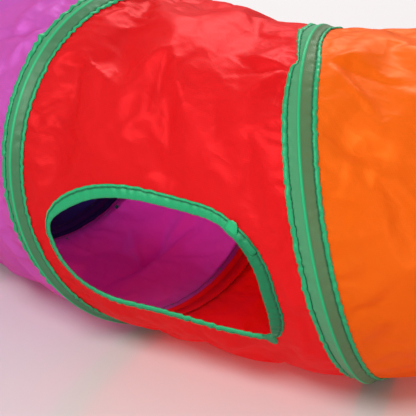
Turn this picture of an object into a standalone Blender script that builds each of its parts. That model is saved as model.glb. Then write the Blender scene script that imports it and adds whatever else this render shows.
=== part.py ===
"""Collapsible S-shaped agility and play tunnel for small pets.

Eight sprung wire hoops carry seven coloured fabric sections. Each hoop sits in a green casing
tape sewn over the seam between two sections, and its ends are joined by a crimped sleeve. The
two sections on the outside of a bend have a bound window. The tunnel folds flat: each section
lets one hoop swing against the next, and two straps then hold the folded stack together.

Units are metres, +Z is up, the floor is z = 0, and the origin is under the middle of the
tunnel's bounding box. Hoops are numbered from the yellow end, at +X, to the green end, at -X.
"""

import math

import bmesh
import bpy
from mathutils import Matrix, Vector

# Path of the tunnel
HOOP_RADIUS = 0.125          # to the centre of the wire
SECTION_LENGTH = 0.163       # centre of one hoop to the centre of the next
BEND = 35.5                  # degrees that a bent section turns
MIDDLE_BEND = 6.0            # degrees that the middle section turns
FIRST_HEADING = -58.2        # degrees, hoop 1's axis against -X, seen from above
LEAN = math.radians(14.0)    # every hoop leans towards the green end
FOLDED_PITCH = 0.012         # between neighbouring hoops when the tunnel is folded
ROOT_HOOP = 4                # the hoop that the others fold towards

# Wire hoop and its crimped sleeve
FACETS = 24                  # flat facets round each hoop
FACET = 2.0 * math.pi / FACETS
WIRE_RADIUS = 0.001
WIRE_GAP = 0.0006            # between the two ends of the wire, inside the sleeve
SLEEVE_BORE = 0.0013
SLEEVE_RADIUS = 0.0019
SLEEVE_LENGTH = 0.018
SLEEVE_SIDES = 12

# Fabric
PANEL_RADIUS = 0.1227        # outer face of a panel where it meets a hoop
PANEL_THICKNESS = 0.001
PANEL_END_GAP = 0.0006       # from the end of a panel to the plane of its hoop
PANEL_STEPS = 4              # spans along a panel, so that its twisted facets stay even
TAPE_THICKNESS = 0.001
TAPE_HALF_WIDTH = 0.013
HEM_WIDTH = 0.026            # the casing at an open end lies on one side of its hoop only
TAPE_CLEARANCE = 0.0005      # between the tape and the panel that it is sewn to
RIDGE_HEIGHT = 0.0045        # inner face of the tape over the wire, above the panel
RIDGE_HALF_WIDTH = 0.0016
RIDGE_FOOT = 0.005
FLOOR_FLAT = 0.0005          # depth of the flat that the floor presses into each casing

# Windows, on the outside of a bend: a rounded rectangle laid on the panel. Along the panel it
# runs from WINDOW_FROM to WINDOW_TO, measured from the lower-numbered hoop, and round the hoop
# from WINDOW_TOP to WINDOW_BOTTOM, measured down from half way up the panel's outer side.
WINDOW_FROM = 0.036
WINDOW_TO = 0.218
WINDOW_TOP = -0.036
WINDOW_BOTTOM = 0.076
# Its corners are quarters of ellipses: radius along the panel, and radius round the hoop, of the
# far upper, near upper, near lower and far lower corner
WINDOW_CORNERS = ((0.095, 0.056), (0.048, 0.044), (0.040, 0.046), (0.035, 0.048))
CORNER_STEPS = 24            # fine points on each corner, before the outline is spaced evenly
WINDOW_POINTS = 42           # evenly spaced points on the outline
BINDING_WIDTH = 0.011
BINDING_THICKNESS = 0.0016
BINDING_GAP = 0.0009         # between the binding and the cut edge of the panel
CUTTER_REACH = 0.010

# Straps that hold the folded tunnel, and their hook and loop pads
STRAP_ANGLES = (15.0, 75.0)
STRAP_WIDTH = 0.020
STRAP_LENGTH = 0.140
STRAP_THICKNESS = 0.0012
STRAP_START = 0.008
STRAP_LIFT = 0.0028          # underside of the strap above the panel
STRAP_STEPS = 6
PAD_THICKNESS = 0.0010
HOOK_PAD_LENGTH = 0.022
LOOP_PAD_LENGTH = 0.016
LOOP_PAD_START = 0.007
LABEL_WIDTH = 0.022
LABEL_LENGTH = 0.030
LABEL_THICKNESS = 0.0006
LABEL_ANGLE = 330.0

COLLECTION_NAME = "agility_tunnel"

# Sections from the yellow end: name, colour, bend to the next hoop
SECTIONS = (
    ("yellow_panel", (0.860, 0.560, 0.020), BEND),
    ("orange_panel", (0.870, 0.150, 0.016), BEND),
    ("red_panel", (0.760, 0.022, 0.030), BEND),
    ("purple_panel", (0.520, 0.110, 0.480), MIDDLE_BEND),
    ("navy_panel", (0.020, 0.012, 0.090), -BEND),
    ("sky_panel", (0.060, 0.360, 0.720), -BEND),
    ("green_panel", (0.050, 0.420, 0.120), -BEND),
)
HOOP_COUNT = len(SECTIONS) + 1
WINDOW_SECTIONS = (3, 6)
TAPE_GREEN = (0.040, 0.400, 0.180)
STEEL = (0.520, 0.530, 0.540)
CRIMP = (0.380, 0.390, 0.400)
WEBBING = (0.035, 0.330, 0.150)
PAD_BLACK = (0.020, 0.020, 0.022)
LABEL_WHITE = (0.850, 0.850, 0.830)


def clear_scene():
    for thing in list(bpy.data.objects):
        bpy.data.objects.remove(thing, do_unlink=True)


def collection(name):
    group = bpy.data.collections.new(name)
    bpy.context.scene.collection.children.link(group)
    return group


def material(name, colour, roughness, metallic=0.0):
    finish = bpy.data.materials.new(name)
    finish.use_nodes = True
    shader = finish.node_tree.nodes["Principled BSDF"]
    shader.inputs["Base Color"].default_value = (*colour, 1.0)
    shader.inputs["Roughness"].default_value = roughness
    shader.inputs["Metallic"].default_value = metallic
    return finish


class Hoop:
    """One hoop's centre and directions: axis along the tunnel, side and up in its plane."""

    def __init__(self, x, y, heading):
        level = Vector((-math.cos(heading), math.sin(heading), 0.0))
        self.heading = heading
        self.level = level
        self.side = Vector((math.sin(heading), math.cos(heading), 0.0))
        self.up = Vector((0.0, 0.0, math.cos(LEAN))) + level * math.sin(LEAN)
        self.axis = level * math.cos(LEAN) - Vector((0.0, 0.0, math.sin(LEAN)))
        ridge = (PANEL_RADIUS + RIDGE_HEIGHT + TAPE_THICKNESS) * math.cos(FACET / 2.0)
        lowest = ridge * math.cos(LEAN) + RIDGE_HALF_WIDTH * math.sin(LEAN)
        self.centre = Vector((x, y, lowest - FLOOR_FLAT))

    def radial(self, angle):
        return self.side * math.cos(angle) + self.up * math.sin(angle)

    def point(self, angle, radius):
        return self.centre + self.radial(angle) * radius


def make_hoops():
    """Walk the path: each chord points along the mean of the headings at its two hoops."""
    heading = math.radians(FIRST_HEADING)
    x = 0.0
    y = 0.0
    hoops = [Hoop(x, y, heading)]
    for _name, _colour, bend in SECTIONS:
        turned = heading + math.radians(bend)
        middle = (heading + turned) / 2.0
        x -= SECTION_LENGTH * math.cos(middle)
        y += SECTION_LENGTH * math.sin(middle)
        heading = turned
        hoops.append(Hoop(x, y, heading))
    return hoops


def panel_frame(hoops, section, along, angle):
    """Point on the outer face of a section, with the directions along it and out of it."""
    first = hoops[section - 1].point(angle, PANEL_RADIUS)
    last = hoops[section].point(angle, PANEL_RADIUS)
    ruling = (last - first).normalized()
    radial = hoops[section - 1].radial(angle).lerp(hoops[section].radial(angle), along)
    outward = (radial - ruling * radial.dot(ruling)).normalized()
    return first.lerp(last, along), ruling, outward


def facet_frame(hoops, section, along, angle):
    """As panel_frame, on the flat facet between the two corners beside the angle."""
    low = (math.floor(angle / FACET - 0.5) + 0.5) * FACET
    share = (angle - low) / FACET
    start, ruling_a, out_a = panel_frame(hoops, section, along, low)
    end, ruling_b, out_b = panel_frame(hoops, section, along, low + FACET)
    ruling = ruling_a.lerp(ruling_b, share).normalized()
    return start.lerp(end, share), ruling, out_a.lerp(out_b, 0.5).normalized()


def section_length(hoops, section, angle):
    first = hoops[section - 1].point(angle, PANEL_RADIUS)
    return (hoops[section].point(angle, PANEL_RADIUS) - first).length


def corner_angles():
    return [(step + 0.5) * FACET for step in range(FACETS)]


def loft_object(name, loops, closed, finish, group):
    """Open surface through a row of loops that all have the same number of points."""
    shape = bmesh.new()
    rows = [[shape.verts.new(point) for point in loop] for loop in loops]
    count = len(loops[0])
    for near, far in zip(rows, rows[1:]):
        for index in range(count if closed else count - 1):
            after = (index + 1) % count
            shape.faces.new((near[index], far[index], far[after], near[after]))
    mesh = bpy.data.meshes.new(name)
    shape.to_mesh(mesh)
    shape.free()
    return mesh_object(name, mesh, finish, group)


def mesh_object(name, mesh, finish, group):
    body = bpy.data.objects.new(name, mesh)
    group.objects.link(body)
    if finish is not None:
        mesh.materials.append(finish)
    return body


def solidify(body, thickness, offset):
    shell = body.modifiers.new("Thickness", "SOLIDIFY")
    shell.thickness = thickness
    shell.offset = offset
    shell.use_even_offset = True


def subtract(body, cutter):
    cut = body.modifiers.new("Cut", "BOOLEAN")
    cut.operation = "DIFFERENCE"
    cut.solver = "EXACT"
    cut.object = cutter


def as_cutter(body):
    body.hide_render = True
    body.display_type = "WIRE"
    return body


def make_wire(number, hoop, finish, group):
    """Closed ring of wire, open by a hair inside its sleeve."""
    flat = HOOP_RADIUS * math.cos(FACET / 2.0)
    half_gap = hoop.up * (WIRE_GAP / 2.0)
    joint = hoop.centre + hoop.side * flat
    route = [joint + half_gap]
    route += [hoop.point(angle, HOOP_RADIUS) for angle in corner_angles()]
    route.append(joint - half_gap)
    curve = bpy.data.curves.new(f"spring_hoop_{number}", "CURVE")
    curve.dimensions = "3D"
    curve.bevel_depth = WIRE_RADIUS
    curve.bevel_resolution = 2
    curve.use_fill_caps = True
    line = curve.splines.new("POLY")
    line.points.add(len(route) - 1)
    for knot, place in zip(line.points, route):
        knot.co = (*place, 1.0)
    body = bpy.data.objects.new(curve.name, curve)
    curve.materials.append(finish)
    group.objects.link(body)
    return body


def make_sleeve(number, hoop, finish, group):
    """Crimped tube on the straight stretch of wire over the joint, a turned wall profile."""
    half = SLEEVE_LENGTH / 2.0
    profile = ((SLEEVE_RADIUS, half), (SLEEVE_RADIUS, -half), (SLEEVE_BORE, -half),
               (SLEEVE_BORE, half))
    shape = bmesh.new()
    corners = [shape.verts.new((radius, 0.0, height)) for radius, height in profile]
    for start, end in zip(corners, corners[1:] + corners[:1]):
        shape.edges.new((start, end))
    mesh = bpy.data.meshes.new(f"hoop_sleeve_{number}")
    shape.to_mesh(mesh)
    shape.free()
    body = mesh_object(mesh.name, mesh, finish, group)
    turn = body.modifiers.new("Turn", "SCREW")
    turn.steps = SLEEVE_SIDES
    turn.render_steps = SLEEVE_SIDES
    turn.use_merge_vertices = True
    turn.merge_threshold = 0.00001
    place = Matrix((hoop.side, hoop.up.cross(hoop.side), hoop.up)).transposed().to_4x4()
    place.translation = hoop.centre + hoop.side * HOOP_RADIUS * math.cos(FACET / 2.0)
    body.matrix_world = place
    return body


def tape_point(hoops, number, angle, reach, height):
    """Point beside hoop 'number': reach along the tunnel, height above the panel."""
    hoop = hoops[number - 1]
    section = number if reach > 0.0 else number - 1
    on_panel = abs(reach) >= RIDGE_FOOT and 1 <= section < HOOP_COUNT
    if not on_panel:
        return hoop.point(angle, PANEL_RADIUS + height) + hoop.axis * reach
    share = abs(reach) / section_length(hoops, section, angle)
    along = share if reach > 0.0 else 1.0 - share
    place, _ruling, outward = panel_frame(hoops, section, along, angle)
    return place + outward * height


def casing_profile(number):
    """Across the tape: (reach along the tunnel, height of the inner face above the panel)."""
    if 1 < number < HOOP_COUNT:
        half = ((TAPE_HALF_WIDTH, TAPE_CLEARANCE), (RIDGE_FOOT, TAPE_CLEARANCE),
                (RIDGE_HALF_WIDTH, RIDGE_HEIGHT))
        return [(-reach, height) for reach, height in half] + list(reversed(half))
    hem = [(HEM_WIDTH, TAPE_CLEARANCE), (RIDGE_FOOT, TAPE_CLEARANCE),
           (RIDGE_HALF_WIDTH, RIDGE_HEIGHT), (-RIDGE_HALF_WIDTH, RIDGE_HEIGHT),
           (-0.0030, 0.0030), (-0.0030, 0.0005)]
    if number == 1:
        return list(reversed(hem))
    return [(-reach, height) for reach, height in hem]


def make_casing(hoops, number, floor, finish, group):
    loops = [[tape_point(hoops, number, angle, reach, height) for angle in corner_angles()]
             for reach, height in casing_profile(number)]
    body = loft_object(f"hoop_casing_{number}", loops, True, finish, group)
    solidify(body, TAPE_THICKNESS, 1.0)
    subtract(body, floor)
    return body


def make_panel(hoops, section, name, finish, group):
    near, far = [[hoop.point(angle, PANEL_RADIUS) + hoop.axis * gap for angle in corner_angles()]
                 for hoop, gap in ((hoops[section - 1], PANEL_END_GAP),
                                   (hoops[section], -PANEL_END_GAP))]
    loops = [[start.lerp(end, step / PANEL_STEPS) for start, end in zip(near, far)]
             for step in range(PANEL_STEPS + 1)]
    body = loft_object(name, loops, True, finish, group)
    solidify(body, PANEL_THICKNESS, -1.0)
    return body


def window_shape():
    """The outline of a window on the flattened panel, as evenly spaced points."""
    fine = []
    for quarter, (radius_along, radius_round) in enumerate(WINDOW_CORNERS):
        far, upper = quarter in (0, 3), quarter in (0, 1)
        middle = Vector((WINDOW_TO - radius_along if far else WINDOW_FROM + radius_along,
                         WINDOW_TOP + radius_round if upper else WINDOW_BOTTOM - radius_round))
        for step in range(CORNER_STEPS + 1):
            angle = (quarter + step / CORNER_STEPS) * math.pi / 2.0
            fine.append(middle + Vector((radius_along * math.cos(angle),
                                         -radius_round * math.sin(angle))))
    fine.append(fine[0])
    gaps = [(after - before).length for before, after in zip(fine, fine[1:])]
    spacing = sum(gaps) / WINDOW_POINTS
    points, travelled, wanted = [], 0.0, 0.0
    for start, end, gap in zip(fine, fine[1:], gaps):
        while wanted <= travelled + gap and len(points) < WINDOW_POINTS:
            share = (wanted - travelled) / gap if gap else 0.0
            points.append(start.lerp(end, share))
            wanted += spacing
        travelled += gap
    return points


def window_outline(hoops, section, inset):
    """Outline of a window as shares along and angles round, moved inwards by inset metres."""
    mirrored = section > ROOT_HOOP
    length = SECTION_LENGTH + 2.0 * PANEL_RADIUS * math.sin(math.radians(BEND) / 2.0)
    flat = window_shape()
    outline = []
    for index, place in enumerate(flat):
        run = flat[(index + 1) % len(flat)] - flat[index - 1]
        inward = Vector((run.y, -run.x)).normalized()
        moved = place + inward * inset
        turn = moved.y / PANEL_RADIUS
        along = moved.x / length
        outline.append((1.0 - along, -turn) if mirrored else (along, math.pi + turn))
    return outline


def window_loop(hoops, section, inset, height):
    loop = []
    for along, angle in window_outline(hoops, section, inset):
        place, _ruling, outward = facet_frame(hoops, section, along, angle)
        loop.append(place + outward * height)
    return loop


def make_window_cutter(hoops, section, group):
    """Closed plug through the panel, its two ends crowned so that they stay clear of it."""
    shape = bmesh.new()
    rims = []
    for height in (-CUTTER_REACH, CUTTER_REACH):
        loop = window_loop(hoops, section, -BINDING_GAP, height)
        rims.append([shape.verts.new(point) for point in loop])
    count = len(rims[0])
    outline = window_outline(hoops, section, 0.0)
    along = sum(point[0] for point in outline) / count
    angle = sum(point[1] for point in outline) / count
    place, _ruling, outward = panel_frame(hoops, section, along, angle)
    for rim, height in zip(rims, (-CUTTER_REACH, CUTTER_REACH)):
        crown = shape.verts.new(place + outward * height)
        for index in range(count):
            shape.faces.new((rim[index], rim[(index + 1) % count], crown))
    for index in range(count):
        after = (index + 1) % count
        shape.faces.new((rims[0][index], rims[0][after], rims[1][after], rims[1][index]))
    bmesh.ops.recalc_face_normals(shape, faces=shape.faces)
    mesh = bpy.data.meshes.new(f"window_cutter_{section}")
    shape.to_mesh(mesh)
    shape.free()
    return as_cutter(mesh_object(mesh.name, mesh, None, group))


def make_binding(hoops, section, name, finish, group):
    loops = [window_loop(hoops, section, inset, BINDING_THICKNESS / 2.0 - PANEL_THICKNESS / 2.0)
             for inset in (0.0, BINDING_WIDTH / 2.0, BINDING_WIDTH)]
    body = loft_object(name, loops, True, finish, group)
    solidify(body, BINDING_THICKNESS, -1.0)
    return body


def make_patch(hoops, section, name, angle, span, width, height, thickness, finish, group):
    """Flat strip along a panel: span is its near and far reach from the end hoop."""
    from_end = section == HOOP_COUNT - 1
    length = section_length(hoops, section, angle)
    half_turn = width / 2.0 / PANEL_RADIUS
    steps = STRAP_STEPS if span[1] - span[0] > STRAP_LENGTH / 2.0 else 1
    loops = []
    for step in range(steps + 1):
        reach = span[0] + (span[1] - span[0]) * step / steps
        along = 1.0 - reach / length if from_end else reach / length
        row = []
        for turn in (angle - half_turn, angle + half_turn):
            place, _ruling, outward = facet_frame(hoops, section, along, turn)
            row.append(place + outward * height)
        loops.append(row)
    if from_end:
        loops.reverse()
    body = loft_object(name, loops, False, finish, group)
    solidify(body, thickness, 1.0)
    return body


def fold_axis(child, parent, pitch):
    """Upright axis about which the child hoop swings to lie beside its parent."""
    turn = child.heading - parent.heading
    rotation = Matrix.Rotation(turn, 2)
    target = parent.centre.xy + parent.level.xy * pitch
    offset = target - rotation @ child.centre.xy
    pole = (Matrix.Identity(2) - rotation).inverted() @ offset
    return Vector((pole.x, pole.y, child.centre.z)), turn


def make_pivot(name, place, parent, group):
    pivot = bpy.data.objects.new(name, None)
    pivot.empty_display_size = 0.03
    pivot.location = place if parent is None else place - parent.matrix_world.translation
    pivot.parent = parent
    group.objects.link(pivot)
    bpy.context.view_layer.update()
    return pivot


def make_pivots(hoops, group):
    """One empty for each hoop's body, on the axis that it folds about."""
    pivots = {ROOT_HOOP: make_pivot("pivot_root", Vector((0.0, 0.0, 0.0)), None, group)}
    order = list(range(ROOT_HOOP - 1, 0, -1)) + list(range(ROOT_HOOP + 1, HOOP_COUNT + 1))
    for number in order:
        above = number + 1 if number < ROOT_HOOP else number - 1
        pitch = -FOLDED_PITCH if number < ROOT_HOOP else FOLDED_PITCH
        pole, _turn = fold_axis(hoops[number - 1], hoops[above - 1], pitch)
        pivots[number] = make_pivot(f"pivot_fold_{number}", pole, pivots[above], group)
    return pivots


def attach(body, pivot):
    """Parent a piece whose mesh is already where it belongs."""
    body.parent = pivot
    body.matrix_parent_inverse = pivot.matrix_world.inverted()


def make_straps(hoops, pivots, finishes, group):
    section = HOOP_COUNT - 1
    last = HOOP_COUNT
    for index, degrees in enumerate(STRAP_ANGLES, start=1):
        angle = math.radians(degrees)
        length = section_length(hoops, section, angle)
        start, _ruling, outward = facet_frame(hoops, section, 1.0 - STRAP_START / length, angle)
        place = start + outward * STRAP_LIFT
        pivot = make_pivot(f"pivot_strap_{index}", place, pivots[last], group)
        end = STRAP_START + STRAP_LENGTH
        strap = make_patch(hoops, section, f"fold_strap_{index}", angle, (STRAP_START, end),
                           STRAP_WIDTH, STRAP_LIFT, STRAP_THICKNESS, finishes["webbing"], group)
        attach(strap, pivot)
        pad_height = STRAP_LIFT - PAD_THICKNESS - 0.0004
        span = (end - HOOK_PAD_LENGTH, end - 0.002)
        hook = make_patch(hoops, section, f"hook_pad_{index}", angle, span, STRAP_WIDTH - 0.002,
                          pad_height, PAD_THICKNESS, finishes["pad"], group)
        attach(hook, pivot)
        span = (LOOP_PAD_START, LOOP_PAD_START + LOOP_PAD_LENGTH)
        height = TAPE_CLEARANCE + TAPE_THICKNESS + 0.0004
        loop = make_patch(hoops, 1, f"loop_pad_{index}", angle, span, STRAP_WIDTH,
                          height, PAD_THICKNESS, finishes["pad"], group)
        attach(loop, pivots[1])


def make_label(hoops, pivot, finish, group):
    """Blank care label sewn inside the yellow end."""
    height = -PANEL_THICKNESS - LABEL_THICKNESS - 0.0006
    label = make_patch(hoops, 1, "care_label", math.radians(LABEL_ANGLE),
                       (0.003, 0.003 + LABEL_LENGTH), LABEL_WIDTH, height, LABEL_THICKNESS,
                       finish, group)
    attach(label, pivot)


def centre_over_origin(root, group):
    """Move the whole tunnel so that the middle of its bounding box is over the origin."""
    bpy.context.view_layer.update()
    graph = bpy.context.evaluated_depsgraph_get()
    low = Vector((math.inf, math.inf))
    high = Vector((-math.inf, -math.inf))
    for body in group.objects:
        if body.type == "EMPTY":
            continue
        solid = body.evaluated_get(graph)
        mesh = solid.to_mesh()
        for corner in mesh.vertices:
            place = solid.matrix_world @ corner.co
            low = Vector((min(low.x, place.x), min(low.y, place.y)))
            high = Vector((max(high.x, place.x), max(high.y, place.y)))
        solid.to_mesh_clear()
    middle = (low + high) / 2.0
    root.location = (-middle.x, -middle.y, 0.0)
    bpy.context.view_layer.update()


def make_floor_cutter(hoops, group):
    middle = (hoops[0].centre + hoops[-1].centre) / 2.0
    bpy.ops.mesh.primitive_cube_add(size=1.0, location=(middle.x, middle.y, -0.05))
    floor = bpy.context.object
    floor.name = "floor_cutter"
    floor.scale = (3.0, 3.0, 0.1)
    for home in list(floor.users_collection):
        home.objects.unlink(floor)
    group.objects.link(floor)
    return as_cutter(floor)


def main():
    clear_scene()
    group = collection(COLLECTION_NAME)
    cutters = collection(f"{COLLECTION_NAME}_cutters")
    finishes = {
        "tape": material("casing_tape", TAPE_GREEN, 0.55),
        "steel": material("spring_steel", STEEL, 0.30, 1.0),
        "crimp": material("crimp_sleeve", CRIMP, 0.40, 1.0),
        "webbing": material("strap_webbing", WEBBING, 0.70),
        "pad": material("hook_and_loop", PAD_BLACK, 0.90),
        "label": material("label_ribbon", LABEL_WHITE, 0.60),
    }
    hoops = make_hoops()
    pivots = make_pivots(hoops, group)
    floor = make_floor_cutter(hoops, cutters)
    attach(floor, pivots[ROOT_HOOP])
    for number, hoop in enumerate(hoops, start=1):
        pivot = pivots[number]
        attach(make_wire(number, hoop, finishes["steel"], group), pivot)
        attach(make_sleeve(number, hoop, finishes["crimp"], group), pivot)
        attach(make_casing(hoops, number, floor, finishes["tape"], group), pivot)
    for section, (name, colour, _bend) in enumerate(SECTIONS, start=1):
        pivot = pivots[section if section < ROOT_HOOP else section + 1]
        finish = material(f"{name}_fabric", colour, 0.45)
        panel = make_panel(hoops, section, name, finish, group)
        attach(panel, pivot)
        if section in WINDOW_SECTIONS:
            cutter = make_window_cutter(hoops, section, cutters)
            attach(cutter, pivot)
            subtract(panel, cutter)
            binding = make_binding(hoops, section, name.replace("panel", "window_binding"),
                                   finishes["tape"], group)
            attach(binding, pivot)
    make_straps(hoops, pivots, finishes, group)
    make_label(hoops, pivots[1], finishes["label"], group)
    centre_over_origin(pivots[ROOT_HOOP], group)


main()
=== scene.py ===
"""Looks of the collapsible S-shaped pet agility tunnel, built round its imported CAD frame.

Every place is read from the frame: each wire hoop gives a centre and three directions, and all
the cloth is laid out from one hoop to the next. 'turn' is the angle round a hoop in radians,
0 on its +side, a quarter turn at the top; 'reach' is the distance from a hoop's plane along the
cloth; 'height' is the distance out of the cloth. All lengths are in metres.
"""

import math

import bpy
import numpy as np
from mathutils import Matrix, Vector


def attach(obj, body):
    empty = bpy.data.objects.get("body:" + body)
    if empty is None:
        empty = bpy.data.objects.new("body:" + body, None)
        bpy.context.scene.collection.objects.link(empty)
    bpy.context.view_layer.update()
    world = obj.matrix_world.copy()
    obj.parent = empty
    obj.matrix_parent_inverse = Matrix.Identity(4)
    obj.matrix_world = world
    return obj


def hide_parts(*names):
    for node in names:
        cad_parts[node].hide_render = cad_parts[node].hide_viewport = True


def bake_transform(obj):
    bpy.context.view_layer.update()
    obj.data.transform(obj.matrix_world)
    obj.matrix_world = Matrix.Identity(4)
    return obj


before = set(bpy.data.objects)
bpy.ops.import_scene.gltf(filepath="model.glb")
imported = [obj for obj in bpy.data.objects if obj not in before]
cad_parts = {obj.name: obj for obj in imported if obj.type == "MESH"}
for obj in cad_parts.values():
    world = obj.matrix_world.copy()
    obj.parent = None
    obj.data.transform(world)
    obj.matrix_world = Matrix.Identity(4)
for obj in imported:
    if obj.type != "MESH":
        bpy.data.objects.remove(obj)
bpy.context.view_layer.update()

MM = 0.001
FULL_TURN = 2.0 * math.pi
HOOP_COUNT = 8
CLOTH_RADIUS = 0.1227        # the cloth where it meets a hoop
WIRE_RADIUS = 1.0 * MM
FINE_STEP = 2.6 * MM         # mesh spacing on the sections that are seen most
COARSE_STEP = 4.2 * MM
FINE_SECTIONS = (2, 3, 4)
TAPE_STEP = 1.6 * MM
WING_WIDTH = 13.0 * MM       # half of the casing tape
STITCH_REACH = 9.2 * MM
STITCH_PITCH = 3.0 * MM
HEM_STITCH_REACH = 22.6 * MM
STRAP_TURNS = (15.0, 75.0)   # degrees round hoop 8 of the two fold-up straps
STRAP_LENGTH = 140.0 * MM
SEED = 41

CAMERA_LENS = 165.5          # millimetres on a 36 mm sensor
CAMERA_DISTANCE = 1.3213
CAMERA_TILT = math.radians(25.9)
CAMERA_AIM = (-0.0987, -0.0152, 0.0037)   # from the centre of hoop 3 to the aimed point

# Sections from the yellow end: colour of the cloth in reflected light, and lit from behind
CLOTH = {
    1: ("yellow", (0.900, 0.610, 0.020), (0.950, 0.640, 0.010)),
    2: ("orange", (1.000, 0.190, 0.005), (1.000, 0.165, 0.002)),
    3: ("red", (0.800, 0.014, 0.018), (0.950, 0.004, 0.003)),
    4: ("purple", (0.600, 0.145, 0.640), (0.940, 0.045, 0.520)),
    5: ("navy", (0.034, 0.022, 0.130), (0.034, 0.022, 0.200)),
    6: ("sky", (0.050, 0.340, 0.720), (0.030, 0.380, 0.900)),
    7: ("green", (0.040, 0.400, 0.110), (0.030, 0.550, 0.080)),
}
TAPE_GREEN = (0.014, 0.300, 0.115)
THIN_TAPE = (0.066, 0.260, 0.120)
SHOWS_UNDER = {2: 0.06}      # share of the cloth's colour seen through thin tape, by section
SETTLE_FRAMES = 24
SPARE_CLOTH = 0.024          # how much larger the cut cloth is than the straight way between hoops
SPARE_BY_SECTION = {2: 0.010}
CREASE_SCALE = {2: 0.45, 3: 0.85}       # how deep the scattered creases are
SWELL_SCALE = {3: 1.8, 2: 0.8}          # how deep the broad unevenness is
SCATTERED_CREASES = 90
DEEPEST_FOLD = 9.0 * MM
MIDDLE_LENGTH = 0.163        # of a section, half way from its inner side to its outer side
LENGTH_TO_INNER = 0.075      # how much shorter its inner side is
FLOOR_GAP = 0.4 * MM


# ---- hoops and cloth coordinates

def unit(vectors):
    return vectors / np.linalg.norm(vectors, axis=-1, keepdims=True)


def wrapped(angle):
    """An angle brought to within half a turn of 0."""
    return (angle + math.pi) % FULL_TURN - math.pi


def corners_of(piece):
    return np.array([corner.co for corner in piece.data.vertices], float)


class Hoop:
    """Centre and directions of one CAD wire hoop: axis along the tunnel, side and up across."""

    def __init__(self, number):
        points = corners_of(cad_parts[f"spring_hoop_{number}"])
        middle = points.mean(0)
        across = np.linalg.svd(points - middle, full_matrices=False)[2]
        flat = (points - middle) @ across[:2].T
        system = np.column_stack((2.0 * flat, np.ones(len(flat))))
        fit = np.linalg.lstsq(system, (flat ** 2).sum(1), rcond=None)[0]
        self.centre = middle + fit[:2] @ across[:2]
        self.axis = across[2]

    def orient(self, towards):
        if self.axis @ towards < 0.0:
            self.axis = -self.axis
        level = unit(np.array((self.axis[0], self.axis[1], 0.0)))
        self.side = np.array((level[1], -level[0], 0.0))
        self.up = np.cross(self.side, self.axis)

    def radial(self, turn):
        turn = np.asarray(turn, float)[..., None]
        return np.cos(turn) * self.side + np.sin(turn) * self.up


HOOPS = [Hoop(number) for number in range(1, HOOP_COUNT + 1)]
for index, hoop in enumerate(HOOPS):
    ahead = HOOPS[min(index + 1, HOOP_COUNT - 1)].centre
    behind = HOOPS[max(index - 1, 0)].centre
    hoop.orient(ahead - behind)
HOOP_RADIUS = float(np.linalg.norm(
    corners_of(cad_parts["spring_hoop_4"]) - HOOPS[3].centre, axis=1).max()) - WIRE_RADIUS
AROUND = FULL_TURN * HOOP_RADIUS


def turns_round(count):
    """Evenly spread turns round a hoop."""
    return np.arange(count) / count * FULL_TURN


def span(section, turn):
    """Length of the cloth from one hoop to the next."""
    first, last = HOOPS[section - 1], HOOPS[section]
    ends = (first.centre + first.radial(turn) * CLOTH_RADIUS,
            last.centre + last.radial(turn) * CLOTH_RADIUS)
    return np.linalg.norm(ends[1] - ends[0], axis=-1)


def on_cloth(section, reach, turn, height):
    """Points at a reach from the lower-numbered hoop, a turn round it and a height above."""
    first, last = HOOPS[section - 1], HOOPS[section]
    reach, turn, height = np.broadcast_arrays(reach, turn, height)
    out_first, out_last = first.radial(turn), last.radial(turn)
    start = first.centre + out_first * CLOTH_RADIUS
    run = last.centre + out_last * CLOTH_RADIUS - start
    ruling = unit(run)
    share = np.clip(reach / np.linalg.norm(run, axis=-1), 0.0, 1.0)[..., None]
    out = out_first * (1.0 - share) + out_last * share
    out = unit(out - ruling * (out * ruling).sum(-1, keepdims=True))
    return start + ruling * reach[..., None] + out * height[..., None]


def on_settled(section, reach, turn, height):
    """As on_cloth, following the folds of the settled cloth."""
    return on_cloth(section, reach, turn, height) + SETTLED[section].move(reach, turn)


def beside_hoop(number, side, reach, turn, height):
    """Points at a reach from a hoop on its side -1 or +1, measured along that side's cloth.

    Above the wire itself the height is square to the wire, so that both sides meet there.
    """
    section = number if side > 0 else number - 1
    along = reach if side > 0 else span(section, turn) - reach
    place = on_settled(section, along, turn, height)
    upright = on_cloth(section, along, turn, height * 0.0)
    upright = upright + HOOPS[number - 1].radial(turn) * np.broadcast_to(
        height, np.shape(turn))[..., None]
    share = smooth(np.broadcast_to(reach, np.shape(turn)), 0.5 * MM, 5.0 * MM)[..., None]
    return upright * (1.0 - share) + place * share


def smooth(value, low, high):
    share = np.clip((value - low) / (high - low), 0.0, 1.0)
    return share * share * (3.0 - 2.0 * share)


def ripple(seed, wavelength, turn, spread=0.45, waves=7):
    """Irregular wave round a hoop, between about -1 and 1, that closes on itself."""
    chance = np.random.default_rng(seed)
    middle = AROUND / wavelength
    total = np.zeros(np.shape(turn))
    for _wave in range(waves):
        count = max(1, round(middle * (1.0 + spread * chance.uniform(-1.0, 1.0))))
        total = total + np.cos(count * turn + chance.uniform(0.0, FULL_TURN))
    return total / math.sqrt(waves * 2.0)


def swell(seed, wavelength, reach, turn, waves=14):
    """Broad soft unevenness of the cloth, in both directions."""
    chance = np.random.default_rng(seed)
    total = np.zeros(np.broadcast(reach, turn).shape)
    for _wave in range(waves):
        angle = chance.uniform(0.0, math.pi)
        length = wavelength * chance.uniform(0.7, 1.6)
        count = round(math.sin(angle) * AROUND / length)
        along = FULL_TURN * math.cos(angle) / length
        total = total + np.cos(along * reach + count * turn + chance.uniform(0.0, 6.28))
    return total / math.sqrt(waves / 2.0)


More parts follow.
